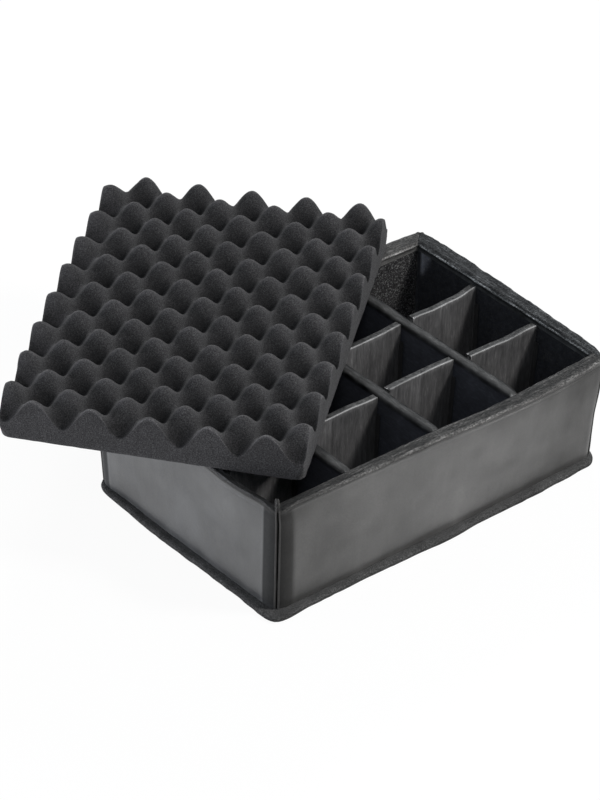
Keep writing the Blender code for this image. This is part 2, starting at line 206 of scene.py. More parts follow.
def settle(points):
    """Straight-sided places moved to where the leaning, bulging and sagging box holds them."""
    x, y, z = np.moveaxis(points, -1, 0)
    rise = up_wall(z)
    plain = (x < 0) & (y < 0)
    power = 2 + np.where(plain, 0.3, np.where(y < 0, 2.2, 4)) * ease(z, 0.05, 0.108)
    x, y = squared(x, y, HALF_X, HALF_Y, CORNER, power)
    low, soft = 1 - rise, rise ** 1.15
    thin = left_thin(y) * ease(z, 0.098, 0.113) * ease(-x, INNER_X - 0.04, INNER_X - 0.005)
    move_y = across(y, HALF_Y, INNER_Y, -front_out(x) * soft - front_foot(x) * low,
        -front_in(x) * soft, rear_in(x) * soft, rear_out(x) * soft)
    move_x = across(x, HALF_X, INNER_X, -left_out(y) * soft - left_foot(y) * low,
        -left_in(y) * soft - thin, right_in(y) * soft, right_out(y) * soft)
    sag = 0.0016 * bump(x, 0.095, 0.06) * bump(y, -0.124, 0.03)
    sag = sag + 0.0012 * bump(y, -0.06, 0.04) * bump(x, -0.188, 0.03)
    for deep, at_x, at_y, wide in SAGS:
        sag = sag + deep * bump(np.hypot(x - at_x, y - at_y), 0, wide)
    return leaned(joined(x, y, z)) + joined(move_x, move_y, -sag * rise ** 6)


# ---- meshes


def tube(*shells):
    """Points and faces of shells of closed sections joined along a path, a row for a section."""
    faces, start = [], 0
    for rings in shells:
        index = start + np.arange(rings.size // 3).reshape(rings.shape[:2])
        here, there = index[:-1], index[1:]
        quads = np.stack([here, np.roll(here, -1, 1), np.roll(there, -1, 1), there], -1)
        faces += quads.reshape(-1, 4).tolist() + [index[0][::-1].tolist(), index[-1].tolist()]
        start += index.size
    return np.vstack([rings.reshape(-1, 3) for rings in shells]), faces


def slab(front, back):
    """Sections round a thin piece, from its two faces."""
    return np.hstack([front, back[:, ::-1]])


def add_object(name, data):
    thing = bpy.data.objects.new(name, data)
    scene.collection.objects.link(thing)
    return thing


def add_piece(name, points_and_faces, material, stands_for, body="tray"):
    """A piece with smooth faces in place of one node of the frame."""
    points, faces = points_and_faces
    mesh = bpy.data.meshes.new(name)
    mesh.from_pydata(points.tolist(), [], faces)
    shape = bmesh.new()
    shape.from_mesh(mesh)
    bmesh.ops.recalc_face_normals(shape, faces=shape.faces)
    shape.to_mesh(mesh)
    shape.free()
    mesh.shade_smooth()
    mesh.set_sharp_from_angle(angle=math.radians(55))
    mesh.materials.append(material)
    piece = add_object(name, mesh)
    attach(piece, body)
    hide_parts(stands_for)
    return piece


def resample(points):
    """Points along a wall's section, closer together towards the rim, and the length gone."""
    points = np.asarray(points, float)
    lengths = np.hstack([0, np.cumsum(np.linalg.norm(np.diff(points, axis=0), axis=1))])
    places = [0]
    while places[-1] < lengths[-1]:
        gone = places[-1]
        places.append(gone + (0.0042 if gone < 0.078 else 0.0016 if gone < 0.097 else 0.0006))
    places = np.array(places) * lengths[-1] / places[-1]
    return joined(*(np.interp(places, lengths, part) for part in points.T)), places


def unit(ways):
    return ways / np.linalg.norm(ways, axis=1, keepdims=True)


def arc(center, radius, start, end, steps):
    angles = np.radians(np.linspace(start, end, steps + 1))
    return [(center[0] + radius * math.cos(a), center[1] + radius * math.sin(a)) for a in angles]


def upright(place, start, end, count):
    return [(place, level) for level in np.linspace(start, end, count)]


def paint(piece, tone, gloss=0):
    """Keeps for each point how light and how glossy its place is, for the material to use. The tone
    carries painted light and shade as well as mottle.
    """
    values = np.zeros((len(piece.data.vertices), 3), np.float32)
    values[:, 0] = np.ravel(tone)
    values[:, 1] = np.ravel(gloss)
    layer = piece.data.attributes.new("paint", "FLOAT_VECTOR", "POINT")
    layer.data.foreach_set("vector", values.ravel())


# ---- walls


def stations(run, step, corner_steps):
    """Where the wall's outer face runs in plan, the way inwards there, and the length gone."""
    straight = run / 2 - CORNER - GAP / math.sqrt(2)
    count = round(2 * straight / step) + 1
    flat_u = np.pad(np.linspace(-straight, straight, count), corner_steps, mode="edge")[:, None]
    turn = np.radians(np.linspace(0, 45, corner_steps + 1))[1:]
    turn = np.hstack([-turn[::-1], np.zeros(count), turn])[:, None]
    sin, cos = np.sin(turn), np.cos(turn)
    return flat_u + CORNER * sin, CORNER * (1 - cos), -sin, cos, flat_u + CORNER * turn


def placed(side, rail, depth, height):
    """A wall's points by their place along it, depth into it and height, as the box holds them."""
    distance, (out_x, out_y) = SIDES[side][1:3]
    u, v, way_u, way_v = rail[:4]
    along, out = u + way_u * depth, distance - (v + way_v * depth)
    return settle(joined(out_x * out - out_y * along, out_y * out + out_x * along, height))


def rim_line(steps, inset, outer=RIM_EDGE, inner=RIM_EDGE):
    """The rim's section, by the radii of its two edges and how far inside it lies."""
    line = arc((outer, RIM_TOP - outer), outer - inset, 180, 90, steps)
    return line + arc((WALL - inner, RIM_TOP - inner), inner - inset, 90, 0, steps)


def cover_relief(side, s, up, depth, height):
    """How far the leatherette stands off its even form: ridges, creases, a lip and soft waves."""
    seed = SIDES[side][3]
    wave = waves(joined(s, up, seed * 0.37), seed)
    rim = ease(height, 0.1095, 0.113)
    wander = 0.0022 * wave(0.05, FAR, 20) + 0.0009 * wave(0.014, FAR, 30)
    ridge_turn = 2 * np.pi * (up - FACE + wander - 0.0012) / 0.0043
    deep = 0.55 + 0.45 * wave(0.022, 0.006, 40)
    relief = 0.00048 * deep * (np.abs(np.cos(ridge_turn / 2)) ** 0.6 - 0.75) * rim
    relief += 0.00055 * wave(0.011, 0.003, 3) * rim
    relief += 0.00028 * wave(0.0044, 0.0022, 4) * rim
    relief += 0.001 * bump(up, FACE + 0.0166, 0.0009) * (0.85 + 0.15 * deep)

    outside = ease(-depth, -0.004, -0.001)
    lip = {"front": 0.35 + 0.65 * ease(s, -0.02, 0.06), "left": 0.45}.get(side, 0.6)
    relief += 0.0006 * lip * bump(height, 0.1142, 0.0022) * outside
    relief -= 0.001 * lip * bump(height, 0.1098, 0.0018) * outside

    panel = (1 - rim) * outside
    relief += 0.00055 * wave(0.085, 0.055, 5) * panel
    relief += 0.00012 * wave(0.009, 0.075, 6) * panel
    relief += 0.00007 * wave(0.005, 0.011, 7) * panel
    relief -= 0.0007 * bump(height, WALL_BOTTOM, 0.0035) * outside
    return relief * ease(s.max() - np.abs(s), 0.001, 0.016)


def cover_paint(side, s, beyond, height):
    """Tone and gloss of the outer face, with painted light and shade: highlight lines on the rim,
    shade on the rounded corners and under the rim, and lighter and darker stretches of the front
    panel. beyond is the length gone past the rim's outer edge.
    """
    seed = 200 + SIDES[side][3]
    wave = waves(joined(s, beyond, seed * 0.37), seed)
    half = s.max()
    edge = half - np.abs(s)
    from_front_left = {"front": half + s, "left": half - s}.get(side, 1)
    rim = np.clip(ease(height, 0.1108, 0.1142) + ease(beyond, 0.003, 0.005), 0, 1)
    long_wave = 0.5 + 0.5 * wave(0.045, FAR)
    short_wave = wave(0.009, 0.0014, 1)
    patch = wave(0.0045, 0.003, 2)
    # Rim tone: random mottle, painted highlight lines along the rim's outer edge, middle and inner
    # edge, painted light on the turn-in, darker near the front left corner, and as painted light a
    # darker left rim and a lighter rear rim
    rim_tone_and_highlights = 0.78 + 0.22 * short_wave + 0.24 * patch
    rim_tone_and_highlights += 1.2 * bump(beyond, 0.0018 + 0.0006 * patch, 0.0014) * (0.35 + 0.65 * long_wave)
    rim_tone_and_highlights += 0.6 * bump(beyond, 0.006 + 0.001 * short_wave, 0.0005) * (1 - long_wave)
    rim_tone_and_highlights += 0.9 * bump(beyond, 0.0117, 0.0007) * (0.4 + 0.6 * long_wave)
    rim_tone_and_highlights += 7 * bump(beyond, 0.0159, 0.0006) * (0.6 + 0.4 * long_wave)
    rim_tone_and_highlights *= 1 + 0.9 * ease(beyond, 0.0172, 0.0182)
    rim_tone_and_highlights *= 1 - 0.62 * bump(from_front_left, 0, 0.09)
    rim_tone_and_highlights *= {"left": 0.42, "rear": 1.5}.get(side, 1)

    # Painted shade on the rounded corner bands, which are made darker and less glossy
    start, soft = (0.015, 0.0012) if side == "left" else (0.0135, 0.006)
    near = 1 - ease(np.where(s > 0, 1, edge) if side == "front" else edge, start, start + soft)
    mottle_and_shade = wave(0.055, 0.035, 3) + 0.5 * wave(0.016, 0.011, 4)
    # On the front panel: painted shade towards the rim, and painted light in the middle that leaves
    # it darker towards both ends
    if side == "front":
        mottle_and_shade = mottle_and_shade - 0.5 * ease(height, 0.06, 0.11)
        mottle_and_shade = mottle_and_shade + 0.8 * bump(s, -0.01, 0.07) - 0.5 * ease(np.abs(s), 0.07, 0.15)
    # Panel tone: mottle, a painted shadow under the rim's roll, and the painted corner shade
    panel = 1 + 0.19 * mottle_and_shade * (1 - near) - 0.12 * bump(height, 0.1075, 0.004) - 0.52 * near
    gloss = (0.7 + 0.12 * mottle_and_shade * (1 - near) - 0.54 * near) * (1 - rim)
    # Painted shade towards both ends of the front panel, with less gloss there
    if side == "front":
        painted_shading = 0.2 * ease(s, 0.05, 0.15) + 0.1 * ease(-s, 0.08, 0.15)
        panel *= 1.06 - painted_shading
        gloss += (0.07 * bump(s, -0.01, 0.06) - 0.8 * painted_shading) * (1 - near) * (1 - rim)
    elif side == "left":
        # A painted highlight line along the edge of the left corner band
        panel += 0.35 * bump(edge, start + 0.0016, 0.0009)
    gloss += 0.3 * rim * (1 - ease(beyond, 0.0176, 0.0184))
    return np.clip(panel * (1 - rim) + rim_tone_and_highlights * rim, 0.05, 5), gloss


def build_cover(side):
    run = SIDES[side][0]
    rail = stations(run, 0.0022, 12)
    outer = [(0, WALL_BOTTOM), *rim_line(14, 0, BAND_OUTER, BAND_INNER), (WALL, RIM_TOP - TURN_IN)]
    line, up = resample(outer)
    (depth, height), (way_in, way_up) = line.T[:, None], unit(np.gradient(line, axis=0)).T
    tone, gloss = cover_paint(side, rail[4], up - FACE, height)
    relief = cover_relief(side, rail[4], up, depth, height)
    inner = np.array([(WALL - COVER, RIM_TOP - TURN_IN)] + rim_line(5, COVER)[::-1]
        + upright(COVER, RIM_TOP - RIM_EDGE, WALL_BOTTOM, 9)[1:])
    unseen = np.zeros((len(relief), len(inner)))
    depth = np.hstack([depth - relief * way_up, unseen + inner[:, 0]])
    height = np.hstack([height + relief * way_in, unseen + inner[:, 1]])
    piece = add_piece(f"{side}_wall_leatherette", tube(placed(side, rail, depth, height)),
        leatherette_x if run == BOX_LENGTH else leatherette_y, f"{side}_wall_cover")
    paint(piece, np.hstack([tone, unseen + 1]), np.hstack([gloss, unseen]))


def build_wall_core(side):
    rail = stations(SIDES[side][0], 0.006, 6)
    inset, top = LINING + GAP, RIM_TOP - RIM_EDGE
    line = np.array(upright(inset, WALL_BOTTOM, top, 12)[:-1] + rim_line(5, inset + 0.0007)
        + upright(WALL - inset, top, WALL_BOTTOM, 12)[1:])
    piece = add_piece(f"{side}_wall_core", tube(placed(side, rail, *line.T)), core_foam,
        f"{side}_wall_foam")


def build_wall_lining(side, seed):
    """The loop fabric inside a wall. The right one hangs in three folds by the rear corner."""
    run = SIDES[side][0]
    rail = stations(run, 0.004, 8)
    top = RIM_TOP - TURN_IN - GAP
    levels = np.linspace(WALL_BOTTOM, top, 34)
    s = rail[4]
    points = joined(s, levels, 0.11)
    ends = ease(s.max() - np.abs(s), 0.002, 0.014)
    pulled = 0.00035 * noise(points, (0.05, 0.04, FAR), seed) * ends * ease(top - levels, 0, 0.02)
    folds = np.zeros_like(pulled)
    if side == "right":
        end = s.max() - s + 0.0008 * noise(points, (FAR, 0.02, FAR), 77)
        for middle, wide, low in FOLDS:
            folds += bump(end, middle, wide) * ease(levels, low, low + 0.014)
    face = WALL - 0.0004 + pulled + 0.0008 * folds
    depth = slab(np.full_like(face, WALL - LINING), face)
    rings = placed(side, rail, depth, np.hstack([levels, levels[::-1]]))
    piece = add_piece(f"{side}_wall_loop_lining", tube(rings),
        loop_lining if run == BOX_LENGTH else loop_lining_shaded_sides, f"{side}_wall_lining")
    # Painted highlights make the fold ridges lighter
    paint(piece, slab(np.ones_like(face), 1 + 11 * folds))


def build_welt(corner, seed):
    """Two rolled edges of leatherette that meet in a slit down the corner, with painted shade in
    the slit and a painted highlight on one lip.
    The front left one ends in a small tab above the rim."""
    side_x, side_y = CORNERS[corner]
    center = (side_x * (HALF_X - CORNER), side_y * (HALF_Y - CORNER))
    turn = math.atan2(side_y, side_x)
    cos, sin = math.cos(turn), math.sin(turn)
    tab = corner == "front_left"
    over, reach, base_proud, thin, step_back = (
        (0.008, 0.0062, 0.001, 0.3, 0.0022) if tab else (0, BAND_OUTER, 0.0008, 0.8, 0))
    seat = CORNER + 0.0002
    half_turn = math.degrees(0.0029 / seat)
    shoulder = RIM_TOP - BAND_OUTER
    levels = [*np.linspace(WALL_BOTTOM, 0.1085, 46), *np.linspace(0.1095, shoulder, 8)]
    rounds = [0] * len(levels) + [0.2, 0.4, 0.6, 0.75, 0.88, 0.97]
    levels += [shoulder + (BAND_OUTER + over) * math.sin(part * math.pi / 2)
        for part in rounds[len(levels):]]
    wander = noise(joined(0, levels, seed * 0.1), (1, 0.016, 1), seed)
    rings, tones = [], []
    for level, part, wave in zip(levels, rounds, wander):
        share = (level - WALL_BOTTOM) / (RIM_TOP - WALL_BOTTOM)
        close = ease(level, 0.1155, 0.1174)
        slit = (0.00065 + 0.0003 * share + 0.00012 * wave) * (1 - 0.85 * close)
        lip = 0.00082 + 0.0001 * wave
        upper = arc((seat + base_proud + 0.0002 * wave - lip, slit + lip), lip, 105, -85, 10)
        ring = np.array(arc((0, 0), seat, -half_turn, half_turn, 6) + upper
            + [(seat + 0.0001, slit * 0.9), (seat + 0.0001, -slit * 0.9)]
            + [(x, -y) for x, y in upper[::-1]])
        x, y = ring.T
        inward = reach * (1 - math.cos(part * math.pi / 2))
        x[:] = seat + (x - seat) * (1 - thin * part ** 3) - inward
        x[:7] -= step_back * ease(level, RIM_TOP, RIM_TOP + 0.003)
        y *= 1 - 0.45 * part ** 4
        rings.append(joined(center[0] + x * cos - y * sin, center[1] + x * sin + y * cos, level))
        # Painted shade in the slit, lighter where it closes at the top, painted shade lines beside
        # it, and a painted highlight on one lip
        slit_shade = 0.03 + 0.6 * close
        tone = np.full(len(ring), 0.75)
        tone[14:22] = (0.85, 0.85, 0.25, slit_shade, slit_shade, 0.25, 1.15, 1.15)
        tones.append(tone)
    piece = add_piece(f"{corner}_rolled_edges", tube(settle(np.array(rings))), leatherette_x,
        f"{corner}_corner_welt")
    tones = np.array(tones)
    paint(piece, tones, 0.25 * (tones > 0.5))


# ---- dividers


def hollow(half, top, skin, steps):
    """The inside of a sleeve open below."""
    inner, level = half - skin, top - half
    return [*upright(inner, DIVIDER_BOTTOM, level, 6)[:-1], *arc((0, level), inner, 0, 180, steps),
        *upright(-inner, level, DIVIDER_BOTTOM, 6)[1:]]


def arch(half, top, steps, power=1):
    """The outline of an upright slab with a round top."""
    shoulder, crown = top - half, []
    for x, z in arc((0, 0), half, 179.9, 0.1, steps):
        x = math.copysign(half * (abs(x) / half) ** power, x)
        crown.append((x, shoulder + half * (z / half) ** power))
    return [*upright(-half, DIVIDER_BOTTOM, shoulder, 18)[:-1], *crown,
        *upright(half, shoulder, DIVIDER_BOTTOM, 18)[1:]]


def long_shape(number, outline, ys, place):
    """A long divider: full in the middle, with narrow ends whose tops slope down to the walls."""
    out, z = np.array(outline).T[:, None]
    y = ys[:, None]
    end = INNER_Y - np.abs(y)
    wave = waves(joined(y, z, number * 0.31), number)
    full = (1 - 0.3 * bump(end, 0, 0.01)) * (0.95 + 0.04 * wave(0.035, 0.05, 60))
    full = full * (1 - 0.05 * bump(z, 0.1035, 0.004))
    sway = (0.0003 if number == 1 else 0.0007) * wave(0.06, 0.2, 70) * ease(end, 0, 0.03)
    drop = 0.0048 * bump(end, 0, 0.0042) * (y < 0) + 0.004 * bump(end, 0, 0.006) * (y > 0)
    drop = drop + 0.0005 * (1 - wave(0.028, FAR, 80))
    return settle(joined(place + out * full + sway, y, z - drop * ease(z, 0.09, DIVIDER_TOP)))


def build_long_divider(number, place):
    label = f"long_divider_{number}"
    half = LONG_THICK / 2
    reach = INNER_Y - 2 * GAP - STRIP[1]
    ys = np.linspace(-reach, reach, 121)
    outline = arch(half, DIVIDER_TOP, 24, 0.8)
    outline += hollow(half, DIVIDER_TOP, LONG_SKIN, 12)
    sleeve = add_piece(f"{label}_sleeve", tube(long_shape(number, outline, ys, place)), velour_long,
        f"{label}_cover")
    x, z = np.array(outline).T[:, None]
    y = ys[:, None]
    points = joined(y, x, number * 0.23)
    wave = waves(points, number)
    # Painted light on the top: a lighter middle band between darker shoulders, mottled with noise
    top = ease(z, DIVIDER_TOP - 0.0075, DIVIDER_TOP - 0.0035)
    tone = 0.36 * ease(np.abs(x + 0.0014), 0.0046, 0.0018) + 0.2
    tone = tone + 0.17 * wave(0.02, 0.0011, 800) + 0.17 * wave(0.006, 0.003, 810)
    tone = tone * top + (1 - top)
    frayed = ease(np.abs(y), reach - 0.005, reach - 0.002) * (z > DIVIDER_TOP - 0.012)
    hooks = 0.35 + 3.2 * (noise(points, 0.0015, 820 + number) > 0.45)
    paint(sleeve, tone * (1 - frayed) + hooks * frayed)
    inset = LONG_SKIN + GAP
    outline = arch(half - inset, DIVIDER_TOP - inset, 12)
    core = add_piece(f"{label}_core", tube(long_shape(number, outline, ys[1:-1], place)), core_foam,
        f"{label}_foam")
    for end, side in (("front", -1), ("rear", 1)):
        build_hook_strip(f"{label}_{end}", place, side, 90 + 2 * number + (side > 0))


def build_hook_strip(label, place, side, seed):
    """A strip of hook tape with a slightly frayed outline."""
    width, thick, height = STRIP
    middle = DIVIDER_TOP - LONG_THICK / 2 - height / 2
    u, z = grid((-width / 2, width / 2, 23), (-height / 2, height / 2, 53))
    wave = waves(joined(u, z, seed * 0.2), seed)
    fray_u = 0.0006 * wave(FAR, 0.0016) * ease(np.abs(u) / (width / 2), 0.93, 1)
    fray_z = 0.0009 * wave(0.0015, FAR, 40) * ease(np.abs(z) / (height / 2), 0.97, 1)
    front, back = (joined(place + u + fray_u, side * depth, middle + z + fray_z)
        for depth in (INNER_Y - GAP - thick, INNER_Y - GAP))
    add_piece(f"{label}_hook_tape", tube(settle(slab(front, back))), hook_tape,
        f"{label}_hook_strip")


def short_outline(half, top):
    """The section of a short divider: a flat top with a tight front edge and a softer rear one."""
    edge, soft, low = 0.001, 0.0016, top - 0.0005
    line = upright(-half, DIVIDER_BOTTOM, top - edge, 22)[:-1]
    line += arc((-half + edge, top - edge), edge, 180, 35, 8)
    line += [(-half + 0.0023, top - 0.0007), (-half + 0.0032, top - 0.0006)]
    line += [(0, low - 0.0001), (0.0011, low)]
    line += arc((half - soft, low - soft), soft, 80, 0, 5)
    line += upright(half, low - soft, DIVIDER_BOTTOM, 22)[1:]
    return line + hollow(half, top, SHORT_SKIN, 7)


def up_divider(z):
    return part_of(z, DIVIDER_BOTTOM, DIVIDER_TOP)


def short_bend(label, share, rise):
    """How far the divider bows along the bay, by the share of its length and its height."""
    bow = np.sin(np.pi * share)
    bows = {"4_rear": 0.0046 * ease(share, 0.62, 1), "4_front": -0.0004 * bow,
        "3_rear": 0.001 * ease(share, 0.6, 1)}
    return bows.get(label, 0.0006 * bow) * rise


def short_shape(label, outline, xs, bay, place, seed):
    out, z = np.array(outline).T[:, None]
    x = xs[:, None]
    share, rise = part_of(x, *bay), up_divider(z)
    wave = waves(joined(x, z, seed * 0.17), seed)
    creases = 0.0003 * wave(0.003, 0.05) + 0.00045 * wave(0.011, 0.08, 1)
    side = np.sign(out) * np.minimum(1, np.abs(out) / 0.002)
    inside = ease(np.minimum(share, 1 - share), 0, 0.12)
    y = place + out + (creases - 0.0002) * side * inside * ease(1 - rise, 0, 0.06)
    dip = 0.0007 * (1 - wave(0.02, FAR, 2)) * ease(rise, 0.9, 1)
    return leaned(joined(x, y + short_bend(label, share, rise), z - dip))


def short_tone(outline, xs, bay, half, seed):
    """A painted highlight along the top's front edge, a mottled top with tufts at the left end, and
    a face with vertical streaks, partly grain and partly painted glints, painted light at its upper
    left and painted shade towards its right end.
    """
    x = xs[:, None]
    y, z = np.array(outline).T[:, None]
    share, down = part_of(x, *bay), DIVIDER_TOP - z
    points = joined(x, y, z)
    ends = ease(np.minimum(share, 1 - share), 0, 0.05)
    mottle = 0.6 * noise(points, (0.0035, 0.0018, 0.003), seed + 5)
    mottle += 0.7 * noise(points, (0.0014, 0.0011, 0.003), seed + 15)
    wave = noise(points, (0.013, FAR, FAR), seed + 6)
    # Painted highlight along the front edge of the top
    edge_highlight = bump(y, -half + 0.0008, 0.001) * bump(down, 0.0002, 0.001)
    crown = 0.62 + 0.55 * mottle + (2.7 + 1.2 * wave) * edge_highlight * ends
    tuft = 1 - ease(x - bay[0], 0.0018, 0.0032)
    crown = crown * (1 - tuft) + tuft * (0.25 + 4 * (noise(points, 0.0013, seed + 9) > 0.4))
    # Vertical streaks on the face: partly grain, partly painted glints
    streak = noise(points, (0.0016, FAR, 0.035), seed + 7)
    streak += 0.7 * noise(points, (0.0045, FAR, 0.09), seed + 8)
    # Painted light at the upper left of the face, and painted shade towards its right end
    lit_patch = (1 - ease(share, 0.25, 0.75)) * (1 - ease(down, 0.008, 0.05))
    face = 1 + 0.16 * streak + 0.4 * lit_patch * (1 + 0.5 * streak) - 0.12 * ease(share, 0.55, 0.98)
    top = 1 - ease(down, 0.0016, 0.0026)
    return np.clip(crown * top + face * (1 - top), 0.05, 6)


def build_short_divider(label, bay, place, seed):
    """A sleeve with a flap of hook tape at each end, and the board inside."""
    low, high = bay[0] + END_GAP, bay[1] - END_GAP
    body = f"short_divider_{label}"
    half = SHORT_THICK / 2
    outline = short_outline(half, DIVIDER_TOP)
    xs = np.linspace(low, high, 95)
    width, thick, height = FLAP
    shells = [short_shape(label, outline, xs, bay, place, seed)]
    for end, inward in ((low, thick), (high, -thick)):
        y, z = grid((-width / 2, width / 2, 17), (0, height, 31))
        z = DIVIDER_BOTTOM + FLAP_RISE + z
        y_here = place + y + short_bend(label, part_of(end, *bay), up_divider(z))
        full = ease(1 - np.abs(y) / (width / 2), 0, 0.7)
        full *= ease(height - (z - z[0, 0]), -0.001, 0.006)
        back = joined(end + inward * (0.25 + 0.75 * full), y_here, z)
        shells.append(leaned(slab(joined(end, y_here, z), back)))
    cover = add_piece(f"{body}_sleeve", tube(*shells), velour_short, f"{body}_cover",
        body)
    # The front divider of the first bay gets its tone raised 1.35 times as painted light
    tone = short_tone(outline, xs, bay, half, seed) * (1.35 if label == "1_front" else 1)
    # The flaps are painted darker as shade
    flaps = np.full(len(cover.data.vertices) - tone.size, 0.42)
    paint(cover, np.hstack([tone.ravel(), flaps]))
    inset = SHORT_SKIN + GAP
    outline = arch(half - inset, DIVIDER_TOP - inset - 0.0006, 8)
    xs = np.linspace(low + thick + GAP, high - thick - GAP, 29)
    board = short_shape(label, outline, xs, bay, place, seed)
    core = add_piece(f"{body}_board", tube(board), core_foam, f"{body}_core", body)


def build_dividers():
    half = LONG_THICK / 2
    starts = [-INNER_X] + [place + half for place in LONG_PLACES]
    ends = [place - half for place in LONG_PLACES] + [INNER_X]
    for number, place in enumerate(LONG_PLACES, start=1):
        build_long_divider(number, place)
    for number, bay in enumerate(zip(starts, ends), start=1):
        build_short_divider(f"{number}_front", bay, SHORT_FRONT[number - 1], 600 + 10 * number)
        build_short_divider(f"{number}_rear", bay, SHORT_REAR[number - 1], 700 + 10 * number)


# ---- floor and base


def rounded_loop(half_x, half_y, radius, step):
    """A rounded rectangle as points, with the way outwards at each."""
    points = []
    for turn, (sx, sy) in zip((0, 90, 180, 270), ((1, 1), (-1, 1), (-1, -1), (1, -1))):
        points += arc((sx * (half_x - radius), sy * (half_y - radius)), radius, turn, turn + 90, 14)
        along = half_y - radius if turn in (90, 270) else half_x - radius
        start = np.array(points[-1])
        way = np.array([-math.sin(math.radians(turn + 90)), math.cos(math.radians(turn + 90))])
        count = int(2 * along / step)
        points += [tuple(start + way * 2 * along * k / count) for k in range(1, count)]
    line = np.array(points)
    ahead = unit(np.roll(line, -1, 0) - np.roll(line, 1, 0))
    return line, joined(ahead[:, 1], -ahead[:, 0])


def build_felt_base():
    """The felt tray: a soft rounded flange that wanders a little, and the skin below the board."""
    half_x, half_y, radius = HALF_X + FLANGE, HALF_Y + FLANGE, CORNER + FLANGE
    line, out = rounded_loop(half_x, half_y, radius, 0.003)
    x, y = line.T
    points = joined(x, y, 0)
    wave = noise(points, 0.045, 301) + 0.5 * noise(points, 0.016, 302)
    small = noise(points, 0.006, 303)
    front, left, right = (np.maximum(0, way) for way in (-out[:, 1], -out[:, 0], out[:, 0]))
    profile = [(-0.016, 0), (-0.005, 0), (-0.0032, 0.0002), (-0.0018, 0.0006), (-0.0007, 0.0014),
        (-0.0001, 0.0024), (0, 0.0034), (-0.0003, 0.0044), (-0.001, 0.0053), (-0.002, 0.0058),
        (-0.0032, BASE), (-0.0055, BASE), (-BASE_BAND, BASE), (-BASE_BAND - 0.0001, BASE_SKIN),
        (-0.016, BASE_SKIN)]
    loops = []
    for inset, height in profile:
        edge = ease(inset, -0.006, -0.001)
        place = line + out * (inset + (0.0009 * wave + 0.00025 * small) * edge)[:, None]
        plain = (x < 0) & (y < 0)
        new_x, new_y = squared(*place.T, half_x, half_y, radius, 2 + 3 * plain * edge)
        new_x = new_x + (right * right_flange(y) * edge - left * left_flange(y) * edge)
        lift = np.clip(0.00035 * small * edge + 0.0004 * wave * edge, -0.0003, 0.0006)
        loops.append(joined(new_x, new_y - front * front_flange(x) * edge,
            np.maximum(0, height + lift * (height > 0.002))))
    piece = add_piece("felt_base", tube(settle(np.array(loops))), felt, "base_felt_tray")


def build_floor():
    for name, node, (low, high), material, slot in (
        ("floor_padding", "floor_foam", FLOOR_FOAM, core_foam, "core_foam"),
        ("floor_loop_lining", "floor_lining", FLOOR_LINING, loop_lining, "loop_lining"),
    ):
        x, y = grid((-INNER_X + GAP, INNER_X - GAP, 90), (-INNER_Y + GAP, INNER_Y - GAP, 58))
        quilt = 0.00025 * (noise(joined(x, y, 0), 0.03, 400) - 1)
        rings = slab(joined(x, y, high + quilt), joined(x, y, low))
        piece = add_piece(name, tube(rings), material, node)
        if slot == "core_foam":
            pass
        else:
            paint(piece, 1)


# ---- pad

PAD_WIDTH = PAD_COLUMNS * PAD_COLUMN + PAD_LEFT + PAD_RIGHT
PAD_LENGTH = PAD_ROWS * PAD_ROW
# Nicks along the cuts: place across and along, depth and width
NICKS = ((0.0975, 0, 0.003, 0.0016), (0.034, 0.001, 0.0022, 0.0014), (0.187, 0, 0.0018, 0.0016),
    (0, 0.061, 0.002, 0.0018))


def corners_drawn_in(u, v, radius):
    """The pad's plan with corners of that radius."""
    near_u, near_v = np.minimum(u, PAD_WIDTH - u), np.minimum(v, PAD_LENGTH - v)
    inside_u, inside_v = np.clip(radius - near_u, 0, radius), np.clip(radius - near_v, 0, radius)
    reach = np.hypot(inside_u, inside_v)
    scale = np.where(reach > 1e-9, np.maximum(inside_u, inside_v) / np.maximum(reach, 1e-9), 1)
    moved = []
    for value, full, near, inside in ((u, PAD_WIDTH, near_u, inside_u),
            (v, PAD_LENGTH, near_v, inside_v)):
        turned = radius - inside * scale
        turned = np.where(value < full / 2, turned, full - turned)
        moved.append(np.where(near < radius, turned, value))
    return moved


def border(field):
    """The values round a grid's edge."""
    return np.hstack([field[:-1, 0], field[-1, :-1], field[:0:-1, -1], field[0, :0:-1]])


